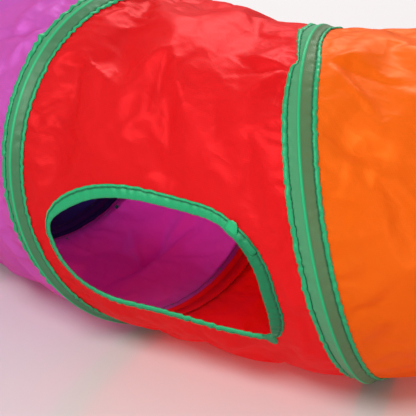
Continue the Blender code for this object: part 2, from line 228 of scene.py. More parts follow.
def crease(reach, turn, start, end, width, height, lean=1.0):
    """A fold along a line: sharp at its crest, wider on one flank by lean, fading to its end."""
    x0, y0 = start
    x1, y1 = end
    run_x, run_y = x1 - x0, (y1 - y0) * HOOP_RADIUS
    length = math.hypot(run_x, run_y)
    off_y = wrapped(turn - y0) * HOOP_RADIUS
    off_x = reach - x0
    along = (off_x * run_x + off_y * run_y) / length
    across = (off_x * run_y - off_y * run_x) / length
    flank = np.where(across > 0.0, width * lean, width)
    crest = 0.9 * MM
    bump = np.exp(-(np.sqrt(across ** 2 + crest ** 2) - crest) / flank)
    fade = smooth(along, -0.5 * width, 0.35 * length) * (1.0 - smooth(along, 0.3 * length, length))
    return height * bump * np.clip(fade * 1.35, 0.0, 1.0)


# Fans of creases, from the places where the cloth is pulled: section, place (reach in
# millimetres from the lower-numbered hoop, degrees round), heading and spread in degrees
# (0 along the tunnel, 90 round it), number of creases, length and depth in millimetres
PULLS = (
    (3, 10, 110, 35, 80, 4, 60, 4.5),
    (3, 100, 115, 75, 60, 3, 70, 5.0),
    (3, 150, 150, 200, 40, 2, 50, 3.0),
    (3, 180, 125, 90, 120, 3, 60, 3.0),
    (3, 15, 165, 30, 70, 4, 30, 2.0),
    (3, 220, 175, 160, 60, 3, 30, 1.8),
    (2, 170, 105, 150, 90, 3, 70, 3.5),
    (2, 200, 140, 165, 30, 2, 60, 2.5),
    (2, 220, 190, 170, 40, 2, 40, 1.8),
    (4, 15, 120, 40, 60, 3, 55, 4.5),
    (4, 15, 165, 45, 60, 2, 45, 3.5),
    (4, 65, 278, 45, 90, 4, 80, 7.5),
)


def fan(pull):
    """The creases of one pull: start, end, width, depth and lean of each, in metres."""
    _section, reach, degrees, heading, spread, number, size, depth = pull
    begin = (reach * MM, math.radians(degrees))
    for index in range(number):
        off = index / max(1, number - 1) - 0.5
        way = math.radians(heading + spread * off)
        length = size * MM * (1.0 - 0.4 * abs(off))
        end = (begin[0] + math.cos(way) * length, begin[1] + math.sin(way) * length / HOOP_RADIUS)
        ridge = depth * MM if index % 2 == 0 else -0.8 * depth * MM
        yield begin, end, (0.10 + 0.04 * off) * size * MM, ridge, 1.5 - off


# Where a section hangs slack between its hoops: section, degrees round, spread, and depth
SAGS = ((3, 84.0, 30.0, 7.5), (2, 88.0, 26.0, 2.0), (4, 90.0, 40.0, 3.0), (6, 96.0, 30.0, 6.0))


def under_strap(section, reach, turn, length):
    """1 on the cloth that a fold-up strap or its pads lie on, 0 well beside it."""
    total = np.zeros(np.broadcast(reach, turn).shape)
    if section != HOOP_COUNT - 1:
        return total
    for degrees in STRAP_TURNS:
        off = np.abs(wrapped(turn - math.radians(degrees)))
        beside = 1.0 - smooth(off * HOOP_RADIUS, 13.0 * MM, 26.0 * MM)
        along = 1.0 - smooth(length - reach, STRAP_LENGTH + 12.0 * MM, STRAP_LENGTH + 40.0 * MM)
        total = np.maximum(total, beside * along)
    return total


def cloth_relief(section, reach, turn, length):
    """Height of the cloth of a section above the straight line between its hoops."""
    chance = np.random.default_rng(SEED + section)
    near = np.minimum(reach, length - reach)
    share = reach / length
    inner = smooth(MIDDLE_LENGTH - length, 0.0, LENGTH_TO_INNER)
    bulge = np.sin(math.pi * share) ** 1.3
    relief = 2.2 * MM * bulge * (1.0 - inner)
    calmness = CREASE_SCALE.get(section, 1.0)
    broad = 1.15 * MM * SWELL_SCALE.get(section, 1.0)
    relief = relief + broad * bulge * swell(SEED * 3 + section, 0.062, reach, turn)
    relief = relief + 0.35 * MM * bulge * swell(SEED * 5 + section, 0.024, reach, turn)
    pleat = np.sin(math.pi * share) * np.cos(4.0 * math.pi * share + ripple(section, 0.2, turn))
    relief = relief + 2.8 * MM * inner * pleat
    for _fold in range(SCATTERED_CREASES):
        from_far = chance.random() < 0.5
        begin = chance.uniform(8.0, 16.0) * MM
        heading = chance.uniform(-0.55, 0.55)
        size = chance.uniform(25.0, 90.0) * MM
        at = chance.uniform(0.0, FULL_TURN)
        to = at + math.sin(heading) * size / HOOP_RADIUS
        end = begin + math.cos(heading) * size
        middle = float(span(section, at))
        if from_far:
            begin, end = middle - begin, middle - end
        width = chance.uniform(1.9, 6.0) * MM
        height = chance.choice((-1.0, 1.0)) * chance.uniform(0.12, 0.24) * width
        relief = relief + calmness * crease(reach, turn, (begin, at), (end, to), width, height,
                                            chance.uniform(0.7, 2.0))
    for pull in PULLS:
        if pull[0] == section:
            for begin, end, width, depth, lean in fan(pull):
                relief = relief + crease(reach, turn, begin, end, width, depth, lean)
    for number, middle, spread, depth in SAGS:
        if number == section:
            off = (np.degrees(turn) - middle + 180.0) % 360.0 - 180.0
            slack = np.exp(-(off / spread) ** 2) * np.sin(math.pi * share) ** 0.7
            relief = relief - depth * MM * slack
    pucker = np.exp(-near / (9.0 * MM))
    fine = np.where(reach < length / 2.0, ripple(section * 7, 0.011, turn),
                    ripple(section * 7 + 7, 0.011, turn))
    relief = relief + 1.1 * MM * pucker * fine
    relief = relief * smooth(near, 4.0 * MM, 17.0 * MM)
    relief = relief * (1.0 - under_strap(section, reach, turn, length))
    return np.maximum(relief, -DEEPEST_FOLD)


class Settled:
    """The cloth of one section after it has settled: moves away from its straight rulings."""

    def __init__(self, section):
        self.section = section
        step = FINE_STEP if section in FINE_SECTIONS else COARSE_STEP
        self.around = round(AROUND / step)
        self.turn = turns_round(self.around)
        self.lengths = span(section, self.turn)
        self.rows = round(float(np.median(self.lengths)) * 1.15 / step)
        self.share = np.linspace(0.0, 1.0, self.rows)
        self.reach = self.share[:, None] * self.lengths[None, :]
        self.turns = np.broadcast_to(self.turn[None, :], self.reach.shape)
        lengths = np.broadcast_to(self.lengths, self.reach.shape)
        relief = cloth_relief(section, self.reach, self.turns, lengths)
        if section in WINDOW_SECTIONS:
            relief = relief * self.calm()
        straight = on_cloth(section, self.reach, self.turns, 0.0)
        start = on_cloth(section, self.reach, self.turns, relief)
        start = self.settle(start)
        self.moves = start - straight

    def calm(self):
        """The cloth stays nearly flat beside a window's binding: 0 there, 1 well away."""
        line, _length = window_line(90)
        x, y = window_place(self.section, self.reach, self.turns)
        middle = line[:, :2] + inward_of(line) * line[:, 2:3] * 0.5
        gap = np.full(x.shape, 1.0)
        for at_x, at_y in middle:
            gap = np.minimum(gap, np.hypot(x - at_x, y - at_y))
        return 0.15 + 0.85 * smooth(gap, 4.0 * MM, 22.0 * MM)

    def settle(self, start):
        """Let slightly oversized cloth, held at both hoops, buckle into its own folds."""
        scale = 10.0
        mesh = bpy.data.meshes.new("settling")
        faces = grid_faces(self.rows, self.around, False, True)
        mesh.from_pydata((start.reshape(-1, 3) * scale).tolist(), [], faces.tolist())
        cloth = bpy.data.objects.new("settling", mesh)
        bpy.context.scene.collection.objects.link(cloth)
        near = np.minimum(self.reach, self.lengths[None, :] - self.reach)
        held = 1.0 - smooth(near, 3.0 * MM, 13.0 * MM)
        if self.section in WINDOW_SECTIONS:
            held = np.maximum(held, 0.5 * (1.0 - self.calm()))
        lengths = np.broadcast_to(self.lengths, self.reach.shape)
        held = np.maximum(held, under_strap(self.section, self.reach, self.turns, lengths))
        group = cloth.vertex_groups.new(name="held")
        for index, weight in enumerate(held.ravel()):
            if weight > 0.0:
                group.add([index], float(weight), "REPLACE")
        modifier = cloth.modifiers.new("Cloth", "CLOTH")
        settings = modifier.settings
        settings.quality = 4
        settings.bending_stiffness = 0.005
        settings.air_damping = 2.0
        settings.vertex_group_mass = "held"
        settings.pin_stiffness = 2.0
        settings.shrink_min = -SPARE_BY_SECTION.get(self.section, SPARE_CLOTH)
        settings.effector_weights.gravity = 0.0
        modifier.collision_settings.use_collision = False
        modifier.point_cache.frame_start = 1
        modifier.point_cache.frame_end = SETTLE_FRAMES
        for moment in range(1, SETTLE_FRAMES + 1):
            bpy.context.scene.frame_set(moment)
        graph = bpy.context.evaluated_depsgraph_get()
        done = cloth.evaluated_get(graph).data
        points = np.zeros(len(done.vertices) * 3)
        done.vertices.foreach_get("co", points)
        bpy.data.objects.remove(cloth)
        bpy.data.meshes.remove(mesh)
        bpy.context.scene.frame_set(1)
        return points.reshape(start.shape) / scale

    def move(self, reach, turn):
        """Moves at any place on the cloth, read between the grid's points."""
        reach, turn = np.broadcast_arrays(reach, turn)
        row = np.clip(reach / span(self.section, turn), 0.0, 1.0) * (self.rows - 1)
        column = (turn % FULL_TURN) / FULL_TURN * self.around
        low_row = np.minimum(row.astype(int), self.rows - 2)
        low_column = column.astype(int) % self.around
        beside = (low_column + 1) % self.around
        down, over = (row - low_row)[..., None], (column - np.floor(column))[..., None]
        upper = self.moves[low_row, low_column] * (1.0 - over) + self.moves[low_row, beside] * over
        lower = (self.moves[low_row + 1, low_column] * (1.0 - over)
                 + self.moves[low_row + 1, beside] * over)
        return upper * (1.0 - down) + lower * down


# ---- mesh building

def make_mesh(name, points, faces, materials, coordinates=None, colours=None):
    mesh = bpy.data.meshes.new(name)
    mesh.from_pydata(points.tolist(), [], faces)
    mesh.validate()
    if coordinates is not None:
        layer = mesh.uv_layers.new(name="UVMap")
        corners = np.zeros(len(mesh.loops), np.int32)
        mesh.loops.foreach_get("vertex_index", corners)
        layer.data.foreach_set("uv", coordinates[corners].astype(np.float32).ravel())
    if colours is not None:
        layer = mesh.color_attributes.new(name="Tint", type="FLOAT_COLOR", domain="POINT")
        solid = np.column_stack((colours, np.ones(len(colours))))
        layer.data.foreach_set("color", solid.astype(np.float32).ravel())
    for finish in materials:
        mesh.materials.append(finish)
    mesh.shade_smooth()
    piece = bpy.data.objects.new(name, mesh)
    bpy.context.scene.collection.objects.link(piece)
    return piece


def grid_faces(rows, columns, close_rows, close_columns):
    """Quads of a grid, first index down the rows, facing out for cloth laid by on_cloth."""
    down = np.arange(rows if close_rows else rows - 1)
    over = np.arange(columns if close_columns else columns - 1)
    row, column = [index.ravel() for index in np.meshgrid(down, over, indexing="ij")]
    below, beside = (row + 1) % rows, (column + 1) % columns
    return np.column_stack((row * columns + column, below * columns + column,
                            below * columns + beside, row * columns + beside))


def plate_faces(rows, columns):
    """A closed plate: one grid of corners over another, and the rim between them."""
    below = rows * columns
    upper = grid_faces(rows, columns, False, False)
    index = np.arange(below).reshape(rows, columns)
    rim = np.concatenate((index[:, 0], index[-1, 1:], index[-2::-1, -1], index[0, -2:0:-1]))
    after = np.roll(rim, -1)
    sides = np.column_stack((rim, rim + below, after + below, after))
    return np.concatenate((upper, upper[:, ::-1] + below, sides))


def strip_round(name, number, side, turn, rows, finish, turned, tints=None):
    """A closed strip round a hoop; each row is its reach, its height and the weave's reach."""
    points = np.concatenate([beside_hoop(number, side, reach, turn, height)
                             for reach, height, _weave in rows])
    points[:, 2] = np.maximum(points[:, 2], 0.0)
    faces = grid_faces(len(rows), len(turn), True, True)
    if turned:
        faces = faces[:, ::-1]
    coordinates = np.concatenate([np.column_stack((weave, turn * HOOP_RADIUS))
                                  for _reach, _height, weave in rows])
    return make_mesh(name, points, faces.tolist(), [finish], coordinates, tints)


def set_fold(piece):
    """Bake the piece's placement into its mesh.
    """
    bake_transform(piece)


# ---- materials

def node(tree, kind, **settings):
    made = tree.nodes.new(kind)
    for key, value in settings.items():
        setattr(made, key, value)
    return made


def shader_tree(name):
    finish = bpy.data.materials.new(name)
    finish.use_nodes = True
    tree = finish.node_tree
    return finish, tree, tree.nodes["Principled BSDF"], tree.nodes["Material Output"]


def bands(tree, uv, scale, direction):
    wave = node(tree, "ShaderNodeTexWave", bands_direction=direction)
    wave.inputs["Scale"].default_value = scale
    wave.inputs["Distortion"].default_value = 0.6
    wave.inputs["Detail"].default_value = 1.0
    tree.links.new(uv.outputs["UV"], wave.inputs["Vector"])
    return wave.outputs["Fac"]


def combine(tree, operation, first, second):
    math_node = node(tree, "ShaderNodeMath", operation=operation)
    for socket, value in zip(math_node.inputs, (first, second)):
        if isinstance(value, (int, float)):
            socket.default_value = value
        else:
            tree.links.new(value, socket)
    return math_node.outputs["Value"]


def noise(tree, uv, scale, detail=3.0):
    cloud = node(tree, "ShaderNodeTexNoise")
    cloud.inputs["Scale"].default_value = scale
    cloud.inputs["Detail"].default_value = detail
    tree.links.new(uv.outputs["UV"], cloud.inputs["Vector"])
    return cloud.outputs["Fac"]


def remap(tree, value, low, high):
    ramp = node(tree, "ShaderNodeMapRange")
    ramp.inputs["To Min"].default_value = low
    ramp.inputs["To Max"].default_value = high
    tree.links.new(value, ramp.inputs["Value"])
    return ramp.outputs["Result"]


def mix_colour(tree, share, first, second, blend="MIX"):
    mixer = node(tree, "ShaderNodeMix", data_type="RGBA", blend_type=blend)
    for socket, value in ((mixer.inputs[0], share), (mixer.inputs[6], first),
                          (mixer.inputs[7], second)):
        if isinstance(value, (int, float)):
            socket.default_value = value
        elif isinstance(value, tuple):
            socket.default_value = (*value, 1.0)
        else:
            tree.links.new(value, socket)
    return mixer.outputs[2]


def bump(tree, height, strength, distance):
    relief = node(tree, "ShaderNodeBump")
    relief.inputs["Strength"].default_value = strength
    relief.inputs["Distance"].default_value = distance
    tree.links.new(height, relief.inputs["Height"])
    return relief.outputs["Normal"]


def woven_height(tree, uv, pitch):
    """Height of a plain weave of that pitch: two sets of threads, one over the other."""
    scale = 0.314 / pitch
    warp, weft = bands(tree, uv, scale, "X"), bands(tree, uv, scale, "Y")
    return combine(tree, "MAXIMUM", warp, weft)


def taffeta(name, colour, behind):
    """Thin glossy polyester: fine weave, soft uneven tone, and light that comes through it."""
    finish, tree, shader, output = shader_tree(name)
    uv = node(tree, "ShaderNodeTexCoord")
    pale = tuple(min(1.0, part * 1.10 + 0.012) for part in colour)
    deep = tuple(part * 0.86 for part in colour)
    tone = mix_colour(tree, remap(tree, noise(tree, uv, 16.0), 0.0, 1.0), deep, pale)
    threads = woven_height(tree, uv, 1.5 * MM)
    grain = mix_colour(tree, remap(tree, threads, 0.55, 0.0), tone, deep)
    tree.links.new(grain, shader.inputs["Base Color"])
    tree.links.new(remap(tree, noise(tree, uv, 40.0), 0.38, 0.50), shader.inputs["Roughness"])
    shader.inputs["Specular IOR Level"].default_value = 0.40
    shader.inputs["IOR"].default_value = 1.30
    shader.inputs["Metallic"].default_value = 0.14
    shader.inputs["Specular Tint"].default_value = (*(0.30 + 0.70 * part for part in colour), 1.0)
    sharp = combine(tree, "ABSOLUTE", combine(tree, "SUBTRACT", noise(tree, uv, 34.0, 2.0), 0.5), 0.0)
    wrinkle = combine(tree, "ADD", combine(tree, "MULTIPLY", sharp, -7.0),
                      combine(tree, "MULTIPLY", noise(tree, uv, 60.0, 4.0), 2.0))
    height = combine(tree, "ADD", combine(tree, "MULTIPLY", threads, 0.10), wrinkle)
    normal = bump(tree, height, 0.50, 0.6 * MM)
    tree.links.new(normal, shader.inputs["Normal"])
    through = node(tree, "ShaderNodeBsdfTranslucent")
    through.inputs["Color"].default_value = (*behind, 1.0)
    tree.links.new(normal, through.inputs["Normal"])
    layers = node(tree, "ShaderNodeMixShader")
    layers.inputs["Fac"].default_value = 0.52
    tree.links.new(shader.outputs["BSDF"], layers.inputs[1])
    tree.links.new(through.outputs["BSDF"], layers.inputs[2])
    tree.links.new(layers.outputs["Shader"], output.inputs["Surface"])
    return finish


def tape_finish(name):
    """Green binding tape with a fine rib, tinted piece by piece by what lies under it and by painted
    highlight and painted shade.
    """
    finish, tree, shader, _output = shader_tree(name)
    uv = node(tree, "ShaderNodeTexCoord")
    tint = node(tree, "ShaderNodeVertexColor", layer_name="Tint")
    cloud = noise(tree, uv, 120.0)
    tone = mix_colour(tree, remap(tree, cloud, 0.0, 0.30), tint.outputs["Color"],
                      (0.020, 0.250, 0.110))
    tree.links.new(tone, shader.inputs["Base Color"])
    tree.links.new(remap(tree, noise(tree, uv, 200.0), 0.36, 0.52), shader.inputs["Roughness"])
    shader.inputs["Specular IOR Level"].default_value = 0.20
    shader.inputs["Metallic"].default_value = 0.10
    threads = woven_height(tree, uv, 0.9 * MM)
    height = combine(tree, "ADD", combine(tree, "MULTIPLY", threads, 0.25),
                     noise(tree, uv, 260.0, 2.0))
    tree.links.new(bump(tree, height, 0.45, 0.35 * MM), shader.inputs["Normal"])
    return finish


def plain_finish(name, colour, roughness, metallic=0.0, pitch=1.0 * MM, strength=0.3):
    """Thread, webbing, pads, ribbon and metal: a colour with grain, wear and a fine relief."""
    finish, tree, shader, _output = shader_tree(name)
    uv = node(tree, "ShaderNodeTexCoord")
    worn = tuple(min(1.0, part * 1.25 + 0.02) for part in colour)
    tone = mix_colour(tree, remap(tree, noise(tree, uv, 90.0), 0.0, 0.6), colour, worn)
    tree.links.new(tone, shader.inputs["Base Color"])
    spread = remap(tree, noise(tree, uv, 150.0), roughness - 0.06, roughness + 0.06)
    tree.links.new(spread, shader.inputs["Roughness"])
    shader.inputs["Metallic"].default_value = metallic
    height = woven_height(tree, uv, pitch)
    tree.links.new(bump(tree, height, strength, 0.3 * MM), shader.inputs["Normal"])
    return finish


TAPE = tape_finish("tape_green")
THREAD = plain_finish("thread_green", (0.010, 0.120, 0.055), 0.55, pitch=0.4 * MM)
INNER_THREAD = plain_finish("thread_inside", (0.030, 0.004, 0.020), 0.60, pitch=0.4 * MM)
WEBBING = plain_finish("webbing_green", (0.030, 0.330, 0.140), 0.62, pitch=1.6 * MM, strength=0.8)
PAD = plain_finish("hook_and_loop_black", (0.020, 0.020, 0.022), 0.85, pitch=0.8 * MM,
                   strength=1.0)
RIBBON = plain_finish("ribbon_white", (0.800, 0.800, 0.780), 0.45, pitch=0.5 * MM)
STEEL = plain_finish("wire_steel", (0.500, 0.510, 0.520), 0.28, 1.0)
CRIMP = plain_finish("sleeve_plated", (0.360, 0.370, 0.380), 0.38, 1.0)
TAFFETA = {number: taffeta(f"taffeta_{name}", colour, behind)
           for number, (name, colour, behind) in CLOTH.items()}


# ---- windows

# A window on the outside of a bend is a rounded rectangle on the cloth: its reach from the
# lower-numbered hoop, and its distance round, down from half way up the outer side
WINDOW_SECTIONS = (3, 6)
WINDOW_LENGTH = float(span(3, math.pi))
WINDOW_FROM, WINDOW_TO = 36.0 * MM, 218.0 * MM
WINDOW_TOP, WINDOW_BOTTOM = -36.0 * MM, 76.0 * MM
# Radius along and radius round of the far upper, near upper, near lower and far lower corner
WINDOW_CORNERS = ((95.0, 56.0), (48.0, 44.0), (40.0, 46.0), (35.0, 48.0))
WIDE_TAPE, NARROW_TAPE = 9.4 * MM, 3.8 * MM
ROLL_LIFT, UPPER_LIFT, LOWER_LIFT = 3.4 * MM, 0.5 * MM, -1.2 * MM


def corner_of(quarter):
    """Centre of a corner of the window, and its radii along the tunnel and round it."""
    along, round_hoop = (radius * MM for radius in WINDOW_CORNERS[quarter])
    x = WINDOW_TO - along if quarter in (0, 3) else WINDOW_FROM + along
    y = WINDOW_TOP + round_hoop if quarter in (0, 1) else WINDOW_BOTTOM - round_hoop
    return x, y, along, round_hoop


def window_line(count):
    """Evenly spread points on the outline: reach, distance round, width and lift of binding.

    The binding is wide along the top and round the near end, where its inner edge rolls up,
    and narrow along the bottom and the far end.
    """
    fine = []
    for quarter in range(len(WINDOW_CORNERS)):
        x, y, along, round_hoop = corner_of(quarter)
        angle = (quarter + np.linspace(0.0, 1.0, 40)) * math.pi / 2.0
        fine.append(np.column_stack((x + along * np.cos(angle), y - round_hoop * np.sin(angle))))
    fine = np.concatenate(fine + [fine[0][:1]])
    run = np.concatenate(([0.0], np.cumsum(np.linalg.norm(np.diff(fine, axis=0), axis=1))))
    wanted = np.arange(count) / count * run[-1]
    line = np.column_stack([np.interp(wanted, run, fine[:, part]) for part in range(2)])
    inward = inward_of(line)
    wide = smooth(0.8 * inward[:, 1] + 0.6 * inward[:, 0], -0.4, 0.4)
    rolled = smooth(inward[:, 0], 0.3, 0.95)
    below = smooth(-inward[:, 1], 0.4, 1.0)
    width = NARROW_TAPE + (WIDE_TAPE - NARROW_TAPE) * wide
    lift = UPPER_LIFT + (ROLL_LIFT - UPPER_LIFT) * rolled + (LOWER_LIFT - UPPER_LIFT) * below
    return np.column_stack((line, width, lift)), run[-1]


def inward_of(line):
    run = np.roll(line[:, :2], -1, axis=0) - np.roll(line[:, :2], 1, axis=0)
    return unit(np.column_stack((run[:, 1], -run[:, 0])))


def inside_loop(x, y, line):
    """True for the places inside a closed line."""
    inside = np.zeros(x.shape, bool)
    for (x0, y0), (x1, y1) in zip(line[:, :2], np.roll(line[:, :2], -1, axis=0)):
        crosses = (y0 > y) != (y1 > y)
        at = x0 + (y - y0) / (y1 - y0 + 1e-12) * (x1 - x0)
        inside ^= crosses & (x < at)
    return inside


def loop_area(line):
    after = np.roll(line, -1, axis=0)
    return 0.5 * abs(float((line[:, 0] * after[:, 1] - after[:, 0] * line[:, 1]).sum()))


def window_place(section, reach, turn):
    """Window coordinates of a place on the cloth; the second window is the first turned round."""
    length = span(section, turn)
    x = reach / length * WINDOW_LENGTH
    y = wrapped(turn - math.pi) * HOOP_RADIUS
    if section == WINDOW_SECTIONS[1]:
        x = WINDOW_LENGTH - x
        y = -wrapped(turn) * HOOP_RADIUS
    return x, y


def from_window(section, x, y):
    """Reach and turn on the cloth of a place in window coordinates."""
    if section == WINDOW_SECTIONS[1]:
        turn = -y / HOOP_RADIUS
        return (1.0 - x / WINDOW_LENGTH) * span(section, turn), turn
    turn = math.pi + y / HOOP_RADIUS
    return x / WINDOW_LENGTH * span(section, turn), turn


# ---- pieces

def make_cloth(section):
    """The coloured cloth of one section, with its folds, and a window where it has one."""
    name = CLOTH[section][0]
    grid = SETTLED[section]
    reach, turns = grid.reach.copy(), grid.turns.copy()
    faces = grid_faces(grid.rows, grid.around, False, True)
    area = AROUND * float(grid.lengths.mean())
    if section in WINDOW_SECTIONS:
        line, length = window_line(900)
        line[:, :2] += inward_of(line) * line[:, 2:3] * 0.5
        x, y = window_place(section, reach, turns)
        inside = inside_loop(x, y, line).ravel()
        faces = faces[~inside[faces].all(axis=1)]
        edge = np.unique(faces[inside[faces]])
        gaps = np.hypot(x.ravel()[edge][:, None] - line[:, 0], y.ravel()[edge][:, None] - line[:, 1])
        nearest = line[gaps.argmin(axis=1)]
        reach.ravel()[edge], turns.ravel()[edge] = from_window(section, nearest[:, 0], nearest[:, 1])
        area -= loop_area(line)
    points = on_settled(section, reach, turns, 0.0).reshape(-1, 3)
    points[:, 2] = np.maximum(points[:, 2], FLOOR_GAP)
    used, faces = np.unique(faces, return_inverse=True)
    faces = faces.reshape(-1, 4)
    coordinates = np.column_stack((reach.ravel(), turns.ravel() * HOOP_RADIUS))[used]
    piece = make_mesh(f"{name}_cloth", points[used], faces.tolist(), [TAFFETA[section]],
                      coordinates)
    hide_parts(f"{name}_panel")
    set_fold(piece)


def tape_tint(side, section, look):
    """Colour of the tape: full where it is doubled, raised as painted highlight on the crown and edge
    and lowered as painted shade in the grooves; paler where thin, and on the lower wing halved as
    painted shade, with some of the cloth's colour seen through.
    """
    if look != "thin":
        return np.array(TAPE_GREEN) * TAPE_PAINTED_LIGHT[look]
    if side > 0:
        return np.array(THIN_TAPE)
    # Painted shade: the thin tape of the lower wing is halved in brightness; the cloth's colour seen
    # through it is its own.
    return np.array(THIN_TAPE) * 0.50 + np.array(CLOTH[section][1]) * SHOWS_UNDER.get(section, 0.02)


# Across one wing of the casing tape, from over the wire out to the folded hem and back inside:
# reach and height in millimetres, how freely it ripples, and the look of the tape there, which
# sets its colour: painted highlight on the crown and the folded edge, painted shade in the grooves.
WING = (
    (0.0, 3.80, 0.0, "crown"), (0.5, 3.74, 0.0, "crown"), (0.95, 3.50, 0.0, "full"),
    (1.4, 3.15, 0.0, "thin"), (2.4, 2.75, 0.0, "thin"), (4.0, 2.20, 0.1, "thin"),
    (5.6, 1.65, 0.2, "thin"), (7.2, 1.15, 0.4, "thin"), (8.4, 0.85, 0.6, "thin"),
    (8.8, 0.42, 0.7, "groove"), (9.3, 0.38, 0.7, "groove"), (9.7, 0.95, 0.8, "full"),
    (10.5, 1.30, 1.0, "full"), (11.6, 1.35, 1.0, "full"), (12.6, 1.15, 1.1, "full"),
    (13.1, 0.70, 1.2, "edge"), (12.8, 0.25, 1.0, "groove"), (9.2, 0.12, 0.7, "full"),
    (6.4, 1.10, 0.3, "thin"), (4.0, 1.85, 0.1, "thin"), (2.2, 2.50, 0.0, "thin"),
    (1.2, 2.95, 0.0, "thin"), (0.6, 3.40, 0.0, "full"), (0.0, 3.48, 0.0, "full"),
)
# Brightness of the tape green by look: painted highlight on the crown and the folded edge, painted
# shade in the grooves; 'full' is the doubled tape's own colour.
TAPE_PAINTED_LIGHT = {"crown": 1.35, "full": 1.0, "groove": 0.42, "edge": 1.25}

# Where a wing pulls narrower: degrees round its hoop and share of the full width, by hoop
# and side
WING_WIDTHS = {
    (3, 1): ((86, 1.0), (105, 0.42), (107, 0.46), (109, 0.78), (122, 1.0), (200, 1.0), (222, 0.82),
             (262, 0.88), (300, 1.0)),
    (3, -1): ((50, 1.0), (78, 0.60), (92, 0.62), (106, 0.86), (180, 0.86), (225, 0.80), (300, 1.0)),
    (4, -1): ((85, 1.0), (105, 0.84), (150, 0.66), (250, 0.66), (300, 1.0)),
}


def wing_shape(number, side, turn, reach, height, loose):
    """Reach and height of a wing point after puckering, and the twist where a wing narrows."""
    seed = number * 10 + side
    edge = 0.75 * ripple(seed + 500, 0.0085, turn) + 0.5 * ripple(seed + 550, 0.0048, turn)
    lift = 0.80 * ripple(seed + 700, 0.0065, turn) + 0.5 * ripple(seed + 750, 0.0045, turn)
    gather = ripple(seed + 900, 0.013, turn + reach * 1.5)
    degrees, widths = zip(*WING_WIDTHS.get((number, side), ((0.0, 1.0),)))
    narrow = (1.0 - np.interp(np.degrees(turn), degrees, widths)) * smooth(reach, 1.0 * MM, 4.0 * MM)
    moved = reach * (1.0 - narrow) + 0.50 * MM * loose * edge
    raised = height + loose * (0.36 * lift + 0.18) * MM + 0.20 * MM * gather * (loose > 0.0)
    raised = raised + 3.0 * MM * narrow * loose * (1.0 - loose)
    away = np.abs(wrapped(turn))
    over_sleeve = 1.0 - smooth(away, 0.080, 0.130)
    raised = raised + 1.0 * MM * over_sleeve * (1.0 - smooth(reach, 3.0 * MM, 7.0 * MM))
    moved = moved + 1.1 * MM * over_sleeve * smooth(reach, 0.3 * MM, 1.4 * MM) * (
        1.0 - smooth(reach, 4.0 * MM, 8.0 * MM))
    return moved, raised


def make_wing(number, side):
    """Half of the casing tape round a hoop, as a thin closed strip with a folded hem."""
    section = number if side > 0 else number - 1
    step = TAPE_STEP if number in (3, 4) else 2.0 * TAPE_STEP
    turn = turns_round(round(AROUND / step))
    rows, tints = [], []
    for reach, height, loose, look in WING:
        moved, raised = wing_shape(number, side, turn, reach * MM, height * MM, loose)
        rows.append((moved, raised, moved))
        tints.append(np.tile(tape_tint(side, section, look), (len(turn), 1)))
    piece = strip_round(f"casing_{number}_{'upper' if side > 0 else 'lower'}", number, side, turn,
                        rows, TAPE, side < 0, np.concatenate(tints))
    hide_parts(f"hoop_casing_{number}")
    set_fold(piece)


# Across the hem at an open end: it wraps the wire and both faces of the cloth's edge.
HEM = (
    (26.0, 0.10, 1.0), (25.6, 0.85, 1.0), (24.0, 1.10, 1.0), (22.6, 0.55, 0.7), (21.0, 0.95, 0.6),
    (16.0, 0.90, 0.5), (10.0, 0.95, 0.3), (5.0, 1.25, 0.2), (2.6, 2.30, 0.0), (1.6, 3.45, 0.0),
    (0.0, 4.15, 0.0), (-1.6, 3.45, 0.0), (-2.1, 2.20, 0.0), (-1.7, 0.60, 0.0), (-0.6, -0.70, 0.0),
    (3.0, -1.10, 0.2), (12.0, -1.10, 0.4), (22.0, -1.10, 0.8), (25.4, -0.75, 1.0),
)


def make_hem(number):
    side = 1 if number == 1 else -1
    turn = turns_round(round(AROUND / TAPE_STEP / 1.6))
    edge, lift = ripple(number + 510, 0.0095, turn), ripple(number + 710, 0.008, turn)
    rows = []
    for reach, height, loose in HEM:
        moved = reach * MM + 0.5 * MM * loose * edge
        rows.append((moved, height * MM + 0.30 * MM * loose * lift, moved))
    tints = np.tile(np.array(TAPE_GREEN), (len(HEM) * len(turn), 1))
    piece = strip_round(f"casing_{number}_hem", number, side, turn, rows, TAPE, side > 0, tints)
    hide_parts(f"hoop_casing_{number}")
    set_fold(piece)


def make_stitches(name, places, outs, pitch_length, finish):
    """A row of thread stitches: places along a line, the way out of the cloth at each."""
    ahead = np.roll(places, -1, axis=0) - places
    gap = np.linalg.norm(ahead, axis=1)
    good = gap < 3.0 * np.median(gap)
    places, outs, ahead = places[good], outs[good], ahead[good]
    run = unit(ahead) * pitch_length
    cross = unit(np.cross(run, outs)) * 0.24 * MM
    sections = []
    for share, rise in ((0.0, -0.10), (0.25, 0.22), (0.75, 0.22), (1.0, -0.10)):
        middle = places + run * share + outs * rise * MM
        thick = outs * 0.20 * MM
        sections += [middle - cross, middle + thick, middle + cross, middle - thick]
    points = np.stack(sections, axis=1).reshape(-1, 3)
    shape = []
    for ring in range(3):
        for corner in range(4):
            after = (corner + 1) % 4
            base = ring * 4
            shape.append((base + corner, base + after, base + 4 + after, base + 4 + corner))
    shape += [(3, 2, 1, 0), (12, 13, 14, 15)]
    faces = (np.array(shape)[None] + (np.arange(len(places)) * 16)[:, None, None]).reshape(-1, 4)
    across = np.tile(np.array(((0.0, 0.0), (0.0, 0.3 * MM))), (len(points) // 2, 1))
    piece = make_mesh(name, points, faces.tolist(), [finish], across)
    return piece


